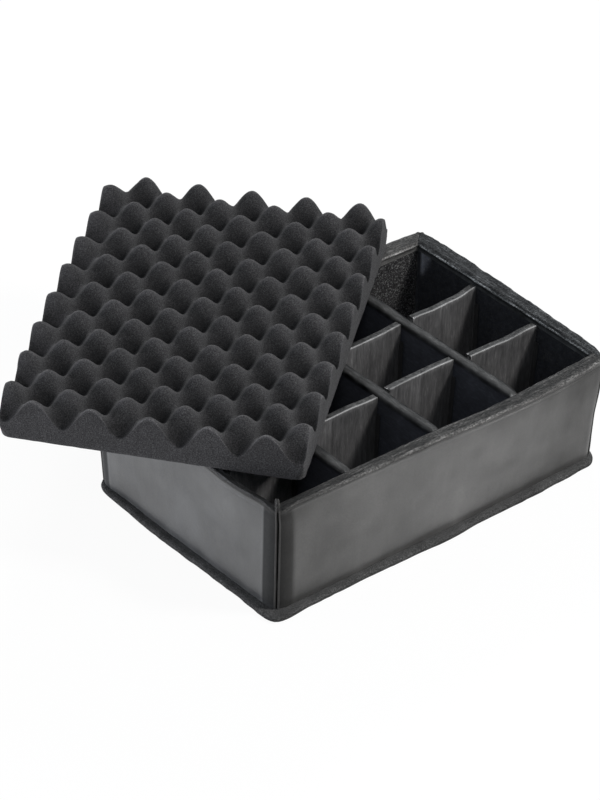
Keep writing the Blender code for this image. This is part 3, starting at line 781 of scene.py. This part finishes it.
def build_pad():
    """Egg-crate foam: cut faces, rounded lower corners, and a skin of open cells."""
    steps, radius, levels = 26, 0.0022, 12
    u, v = grid((0, PAD_WIDTH, (PAD_COLUMNS + 1) * steps + 1),
        (0, PAD_LENGTH, PAD_ROWS * steps + 1))
    wide, long = u / PAD_WIDTH, v / PAD_LENGTH
    points = joined(u, v, 0)
    wider = 0.0035 * wide ** 1.3 * (1 - 0.75 * ease(long, 0.55, 1))
    slide_u = 0.0012 * noise(points, 0.06, 500) + wider
    slide_v = 0.0012 * noise(points, 0.06, 501)
    turn_u = 2 * np.pi * (u - PAD_LEFT + slide_u) / PAD_COLUMN
    turn_v = 2 * np.pi * (v + slide_v) / PAD_ROW
    wave = (1 - np.cos(turn_u) * np.cos(turn_v)) / 2
    height = PAD_VALLEY + PAD_WAVE * wave ** 0.96
    crest = 1 - np.abs(np.cos(turn_u / 2 + turn_v / 2) * np.cos(turn_u / 2 - turn_v / 2))
    height = height + 0.0005 * noise(points, 0.05, 502) - 0.0006 + 0.0004 * (crest - 0.5)
    height += 0.0027 * ease(long, 0.45, 1) * ease(wide, 0.3, 1)
    height += 0.00018 * noise(points, 0.004, 503) + 0.00012 * noise(points, 0.0022, 504)
    for at_u, at_v, deep, width in NICKS:
        height -= deep * bump(u, at_u, width) * bump(v, at_v, width * 1.4)

    top_u, top_v = corners_drawn_in(u, v, radius)
    rounded = 0.0007 * bump(np.minimum(top_v, PAD_LENGTH - top_v), 0, 0.0009)
    parts = [joined(top_u, top_v, height - rounded).reshape(-1, 3)]
    index = np.arange(u.size).reshape(u.shape)
    quads = np.stack([index[:-1, :-1], index[1:, :-1], index[1:, 1:], index[:-1, 1:]], -1)
    faces = quads.reshape(-1, 4).tolist()
    rim_u, rim_v, previous = border(u), border(v), border(index)
    for level in range(1, levels + 1):
        share = level / levels
        h = border(height) * (1 - share)
        place = joined(*corners_drawn_in(rim_u, rim_v, radius + 0.0075 * ease(share, 0.35, 1)), h)
        rough = 0.00022 * noise(joined(rim_u, rim_v, h * 2), 0.006, 505)
        rough -= 0.0004 * bump(share, 1, 0.06)
        way = place[:, :2] - (PAD_WIDTH / 2, PAD_LENGTH / 2)
        sideways = np.abs(way[:, 0]) / PAD_WIDTH > np.abs(way[:, 1]) / PAD_LENGTH
        place[:, :2] += np.sign(way) * joined(sideways, ~sideways) * rough[:, None]
        parts.append(place)
        here = np.arange(len(place)) + previous.max() + 1
        faces += np.stack([previous, here, np.roll(here, -1), np.roll(previous, -1)], -1).tolist()
        previous = here
    faces.append(previous[::-1].tolist())

    points = np.vstack(parts)
    x, y, z = points.T
    x += ease(x / PAD_WIDTH, 0.9, 1) * (0.002 - 0.0035 * y / PAD_LENGTH)
    x -= PAD_LEFT + 0.0048 * ease(y / PAD_LENGTH, 0, 0.5) * np.clip(1 - x / 0.022, 0, 1)
    z += RIM_TOP + GAP
    cos, sin = math.cos(PAD_TURN), math.sin(PAD_TURN)
    points[:, :2] = points[:, :2] @ np.array([[cos, -sin], [sin, cos]]).T + np.array(PAD_CORNER)
    piece = add_piece("egg_crate_foam", (points, faces), pad_foam, "egg_crate_pad",
        "pad")
    # Painted shade in the valleys, lighter towards the crests, and painted highlights along the cut
    # edges
    to_edge = np.minimum(np.minimum(u, PAD_WIDTH - u), np.minimum(v, PAD_LENGTH - v))
    tone = 0.42 + 0.57 * ease(wave, 0.14, 0.92) + 0.4 * bump(to_edge, 0, 0.0008)
    paint(piece, np.hstack([tone.ravel(), np.full(len(points) - tone.size, 0.98)]))


# ---- materials


class Nodes:
    """The nodes of a material or world, added and joined by short calls."""

    def __init__(self, owner):
        self.owner = owner
        owner.use_nodes = True
        self.tree = owner.node_tree
        self.shader = self.tree.nodes.get("Principled BSDF")

    @functools.cached_property
    def place(self):
        return self.add("TexCoord").outputs["Object"]

    def feed(self, slot, value):
        if isinstance(value, bpy.types.NodeSocket):
            self.tree.links.new(value, slot)
        else:
            slot.default_value = value

    def add(self, kind, inputs=(), **values):
        """A node with its settings and inputs, an input being a value or another node's output."""
        node = self.tree.nodes.new("ShaderNode" + kind)
        for key, value in values.items():
            setattr(node, key, value)
        for key, value in dict(inputs).items():
            self.feed(node.inputs[key], value)
        return node

    def noise(self, scale, detail, rough, stretch=None):
        where = self.place
        if stretch:
            where = self.add("Mapping", {"Scale": stretch, "Vector": where}).outputs["Vector"]
        return self.add("TexNoise", {"Scale": scale, "Detail": detail, "Roughness": rough,
            "Vector": where}).outputs["Fac"]

    def cells(self, scale, feature="F1"):
        inputs = {"Scale": scale, "Vector": self.place}
        return self.add("TexVoronoi", inputs, feature=feature).outputs["Distance"]

    def ramp(self, source, *stops):
        """Colours by stops of (place, colour or grey)."""
        node = self.add("ValToRGB", {"Fac": source})
        elements = node.color_ramp.elements
        while len(elements) < len(stops):
            elements.new(0.5)
        for element, (place, color) in zip(elements, stops):
            element.position = place
            element.color = (*(color if isinstance(color, tuple) else grey(color)), 1)
        return node.outputs["Color"]

    def times(self, color, other, factor=1):
        return self.add("Mix", {"Factor": factor, "A": color, "B": other}, data_type="RGBA",
            blend_type="MULTIPLY").outputs["Result"]

    def shaded(self, color, source, low, high, start=0.3, end=0.7):
        """A colour times a grey that follows the source."""
        return self.times(color, self.ramp(source, (start, low), (end, high)))

    def ranged(self, source, low, high, start=0.3, end=0.7):
        inputs = {"Value": source, "From Min": start, "From Max": end, "To Min": low,
            "To Max": high}
        return self.add("MapRange", inputs).outputs["Result"]

    def product(self, first, second):
        return self.add("Math", {0: first, 1: second}, operation="MULTIPLY").outputs["Value"]

    def scaled(self, color, factor):
        """A colour times a number."""
        return self.add("VectorMath", {0: color, "Scale": factor},
            operation="SCALE").outputs["Vector"]

    def convex(self, low, high, start, end):
        """A factor that rises on edges and ridges."""
        return self.ranged(self.add("NewGeometry").outputs["Pointiness"], low, high, start, end)

    def axes(self, vector):
        return self.add("SeparateXYZ", {"Vector": vector}).outputs

    def facing_up(self):
        return self.axes(self.add("NewGeometry").outputs["Normal"])["Z"]

    def painted(self):
        """The tone and gloss kept with the points of the mesh."""
        parts = self.axes(self.add("Attribute", attribute_name="paint").outputs["Vector"])
        return parts["X"], parts["Y"]

    def bumped(self, *layers):
        """Bump layers of (height source, distance in metres, strength)."""
        inputs = {}
        for source, distance, strength in layers:
            inputs |= {"Distance": distance, "Strength": strength, "Height": source}
            inputs["Normal"] = self.add("Bump", inputs).outputs["Normal"]
        self.feed(self.shader.inputs["Normal"], inputs["Normal"])

    def finish(self, color, roughness, **others):
        others |= {"Base Color": color, "Roughness": roughness}
        for key, value in others.items():
            self.feed(self.shader.inputs[key.replace("_", " ")], value)
        return self.owner


def new_material(name):
    return Nodes(bpy.data.materials.new(name))


def grey(value, warm=0):
    return (value * (1 + warm), value, value * (1 - warm))


def make_leatherette(name, along, warm):
    """Pebbled black leatherette, with rim wrinkles that run along the wall. On the rim the wrinkle
    ridges are painted lighter and their grooves darker, specks add painted glints, and edges get
    painted highlights.
    """
    n = new_material(name)
    scuff = n.noise(60, 6, 0.7, (1, 1, 0.35))
    tone, gloss = n.painted()
    color = n.ramp(n.noise(14, 3, 0.6), (0.3, grey(0.03, warm)), (0.7, grey(0.056, warm)))
    color = n.shaded(color, scuff, 1, 1.28, 0.45, 0.75)
    color = n.scaled(color, n.ranged(n.noise(700, 3, 0.7), 0.8, 1.22))
    top = n.ranged(n.axes(n.place)["Z"], 0, 1, 0.1105, 0.1145)
    lines = n.noise(430, 4, 0.62, along)
    # Painted highlights on the wrinkle ridges and painted shade in their grooves, on the rim only
    wrinkles = n.ramp(lines, (0.4, 0.55), (0.55, 0.85), (0.605, 1.7), (0.65, 0.9))
    color = n.times(color, wrinkles, top)
    # Specks on the rim, partly painted glints
    specks = n.ramp(n.noise(640, 3, 0.8), (0.41, 0.25), (0.5, 1), (0.61, 1.9))
    color = n.times(color, specks, top)
    # Painted highlights on edges and ridges
    color = n.scaled(color, n.convex(1, 1.6, 0.52, 0.6))
    color = n.scaled(color, tone)
    grain = n.ranged(n.cells(1500, "DISTANCE_TO_EDGE"), 0, 1, 0, 0.35)
    creases = n.noise(160, 4, 0.6, (1, 1, 0.25))
    n.bumped((n.product(lines, top), 0.0016, 0.9), (creases, 0.0005, 0.25), (grain, 0.0001, 0.35),
        (n.noise(2600, 2, 0.6), 0.00006, 0.4))
    rough = n.product(n.ranged(scuff, 0.3, 0.48), n.ranged(gloss, 1.5, 0.78, 0, 1))
    return n.finish(color, rough, Specular_IOR_Level=gloss)


def make_loop_lining(name, low, glint):
    n = new_material(name)
    loops = n.noise(720, 3, 0.7)
    clumps = n.noise(210, 3, 0.6)
    between = tuple(0.6 * part + 0.15 * glint for part in low)
    color = n.ramp(loops, (0.44, low), (0.54, between), (0.66, glint))
    color = n.scaled(n.shaded(color, clumps, 0.7, 1.2), n.painted()[0])
    n.bumped((clumps, 0.0008, 0.5), (loops, 0.0009, 0.8))
    return n.finish(color, n.ranged(clumps, 0.85, 1), Specular_IOR_Level=0.08)


def make_velour(name, brushing, glint, *painted_shading):
    """Short shiny pile, brushed one way. The stops after glint paint light by how far the face
    looks up: lighter tops, darker flanks.
    """
    n = new_material(name)
    brushed = n.noise(900, 4, 0.65, brushing)
    broad = n.noise(45, 3, 0.6, (1, 1, 0.5))
    color = n.ramp(brushed, (0.3, 0.06), (0.55, 0.082), (0.7, glint))
    color = n.times(n.shaded(color, broad, 0.8, 1.2), n.ramp(n.facing_up(), *painted_shading))
    n.bumped((brushed, 0.0006, 0.5), (n.noise(1700, 4, 0.7), 0.0003, 0.6))
    return n.finish(n.scaled(color, n.painted()[0]), n.ranged(broad, 0.34, 0.5),
        Specular_IOR_Level=0.35)


def make_celled(name, scale, other, greys, strength, other_bump, rough, **others):
    """Hooks or pores as cells, with a second noise that sets the roughness."""
    n = new_material(name)
    cells, other = n.cells(scale), n.noise(*other)
    n.bumped((cells, 0.0005, strength), (other, *other_bump))
    color = n.ramp(cells, (0.1, greys[0]), (0.5, greys[1]))
    return n.finish(color, n.ranged(other, *rough), **others)


def make_felt():
    n = new_material("felt")
    fibres = n.noise(950, 6, 0.8, (1, 1, 0.7))
    broad = n.noise(70, 3, 0.6)
    color = n.ramp(fibres, (0.4, 0.017), (0.52, 0.041), (0.66, 0.102))
    color = n.shaded(color, broad, 0.75, 1.25)
    # Painted light: faces that look up are up to 1.6 times lighter
    color = n.scaled(color, n.ranged(n.facing_up(), 1, 1.6, 0.2, 1))
    n.bumped((broad, 0.001, 0.4), (fibres, 0.0007, 0.9))
    return n.finish(color, n.ranged(fibres, 0.88, 1), Specular_IOR_Level=0.05)


def make_pad_foam():
    n = new_material("pad_foam")
    pores = n.noise(1020, 3, 0.8)
    color = n.ramp(pores, (0.38, (0.022, 0.0218, 0.0228)), (0.52, (0.047, 0.0464, 0.0484)),
        (0.66, (0.092, 0.0907, 0.094)))
    color = n.shaded(color, n.noise(22, 3, 0.6), 0.88, 1.1)
    # Painted highlights on crests and cut edges
    color = n.scaled(color, n.convex(1, 1.9, 0.53, 0.66))
    color = n.scaled(color, n.painted()[0])
    n.bumped((pores, 0.0007, 0.55), (n.cells(1900), 0.0003, 0.4))
    return n.finish(color, n.ranged(pores, 0.9, 1), Specular_IOR_Level=0.04, Sheen_Weight=0.1,
        Sheen_Roughness=0.4)


def make_board():
    n = new_material("grey_board")
    fibres = n.noise(600, 5, 0.7)
    n.bumped((n.noise(2500, 2, 0.5), 0.0001, 0.4))
    return n.finish(n.ramp(fibres, (0.3, (0.12, 0.1, 0.078)), (0.7, (0.2, 0.165, 0.13))),
        n.ranged(fibres, 0.75, 0.95))


# ---- stage, camera, light


def build_stage():
    """A wide floor that looks nearly white and keeps the object's shadow."""
    mesh = bpy.data.meshes.new("floor")
    size = 40
    mesh.from_pydata([(-size, -size, 0), (size, -size, 0), (size, size, 0), (-size, size, 0)], [],
        [(0, 1, 2, 3)])
    floor = add_object("floor", mesh)
    floor.location.z = -0.0002
    n = new_material("floor")
    glow = n.add("Emission", {"Color": (*WHITE, 1), "Strength": 1})
    mix = n.add("MixShader", {"Fac": 0.95, 1: n.shader.outputs[0], 2: glow.outputs[0]})
    n.feed(n.tree.nodes["Material Output"].inputs["Surface"], mix.outputs[0])
    mesh.materials.append(n.finish((0.85, 0.85, 0.85, 1), 0.9))


def build_world():
    """A soft bluish light around the object, white where the camera sees it."""
    world = bpy.data.worlds.new("studio")
    scene.world = world
    n = Nodes(world)
    around = n.tree.nodes["Background"]
    n.feed(around.inputs["Color"], (0.84, 0.92, 1, 1))
    n.feed(around.inputs["Strength"], 0.32)
    white = n.add("Background", {"Strength": 1})
    ray = n.add("LightPath").outputs
    seen, through = ray["Is Camera Ray"], ray["Is Transmission Ray"]
    either = n.add("Math", {0: seen, 1: through}, operation="MAXIMUM")
    mix = n.add("MixShader", {"Fac": either.outputs[0], 1: around.outputs[0], 2: white.outputs[0]})
    n.feed(n.tree.nodes["World Output"].inputs["Surface"], mix.outputs[0])


def build_lights():
    """Lamps by name, place, height they look at, size, power, colour, and whether they glint."""
    warm = (1, 0.985, 0.965)
    for name, place, aim, size, power, color, glints in (
        ("key", (1.1, -1.42, 2.05), 0.08, (0.5, 0.5), 57, warm, True),
        ("above", (0.15, 0.95, 2.1), 0.08, (0.55, 0.55), 3, WHITE, True),
        ("fill", (-1.25, -1.45, 2.2), 0.08, (0.8, 0.8), 11, (0.96, 0.98, 1), False),
        ("side_left", (-1.98, 1.12, 0.2), 0.06, (1, 0.24), 35, (0.94, 0.94, 1), True),
        ("side_front", (1.35, -1.85, 0.2), 0.06, (1, 0.24), 12, (1, 0.985, 0.96), True),
        ("rim", (1.5, 1.7, 1.35), 0.08, (0.3, 0.15), 1.3, WHITE, True),
        ("back", (1.45, 1.7, 1.4), 0.08, (0.5, 0.5), 36, WHITE, False),
    ):
        light = bpy.data.lights.new(name, "AREA")
        light.shape = "RECTANGLE"
        light.size, light.size_y = size
        light.energy, light.color = power, color
        lamp = add_object(name, light)
        lamp.location = place
        lamp.rotation_mode = "QUATERNION"
        lamp.rotation_quaternion = (Vector((0, 0, aim)) - Vector(place)).to_track_quat("-Z", "Y")
        lamp.visible_glossy = glints


def build_camera():
    azimuth, elevation, roll = (math.radians(angle) for angle in (49.3646, 35.2198, 1.5068))
    flat = math.cos(elevation)
    ahead = Vector((flat * math.cos(azimuth), flat * math.sin(azimuth), -math.sin(elevation)))
    right = ahead.cross(Vector((0, 0, 1))).normalized()
    up = right.cross(ahead)
    side = right * math.cos(roll) + up * math.sin(roll)
    above = up * math.cos(roll) - right * math.sin(roll)
    data = bpy.data.cameras.new("camera")
    data.lens, data.sensor_width = 138.57, 36
    data.clip_start, data.clip_end = 0.05, 60
    camera = add_object("camera", data)
    turn = Matrix((side, above, -ahead)).transposed().to_4x4()
    camera.matrix_world = Matrix.Translation((-1.4965, -1.6729, 1.6607)) @ turn
    scene.camera = camera


# The front and rear copy is tinted warm and the side copy cool, as painted tints of the light on
# each facing; the wrinkles also run along each wall
leatherette_x = make_leatherette("leatherette_front", (0.1, 1, 1), 0.02)
leatherette_y = make_leatherette("leatherette_side", (1, 0.1, 1), -0.04)
loop_lining = make_loop_lining("loop_lining", (0.018, 0.017, 0.018), 0.19)
# A lighter, bluer copy with fewer bright loops for the left and right walls: a painted tint of the
# shade on them
loop_lining_shaded_sides = make_loop_lining("loop_lining_shaded_sides", (0.036, 0.038, 0.046), 0.062)
# velour_long's stops paint its flanks darker and bluer and its top lighter, as painted shade and
# light
velour_short = make_velour("velour_short", (1, 1, 0.12), 0.13, (0, (1, 0.98, 0.99)), (1, 1))
velour_long = make_velour("velour_long", (1, 0.2, 0.6), 0.12, (0.05, (0.66, 0.7, 0.86)), (0.5, 0.9),
    (1, 1.1))
hook_tape = make_celled("hook_tape", 1300, (1800, 3, 0.7), (0.09, 0.025), 0.8, (0.0002, 0.5),
    (0.5, 0.75), Specular_IOR_Level=0.2)
felt = make_felt()
core_foam = make_celled("core_foam", 900, (40, 2, 0.5), (0.16, 0.3), 0.6, (0.001, 0.2), (0.9, 1))
pad_foam = make_pad_foam()

board_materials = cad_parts["base_board"].data.materials
board_materials.clear()
board_materials.append(make_board())
build_felt_base()
build_floor()
for number, side in enumerate(SIDES):
    build_wall_core(side)
    build_cover(side)
    build_wall_lining(side, 5 + number)
for number, corner in enumerate(CORNERS):
    build_welt(corner, 3 + number)
build_dividers()
build_pad()
build_stage()
build_world()
build_lights()
build_camera()
scene.view_settings.view_transform = "Standard"
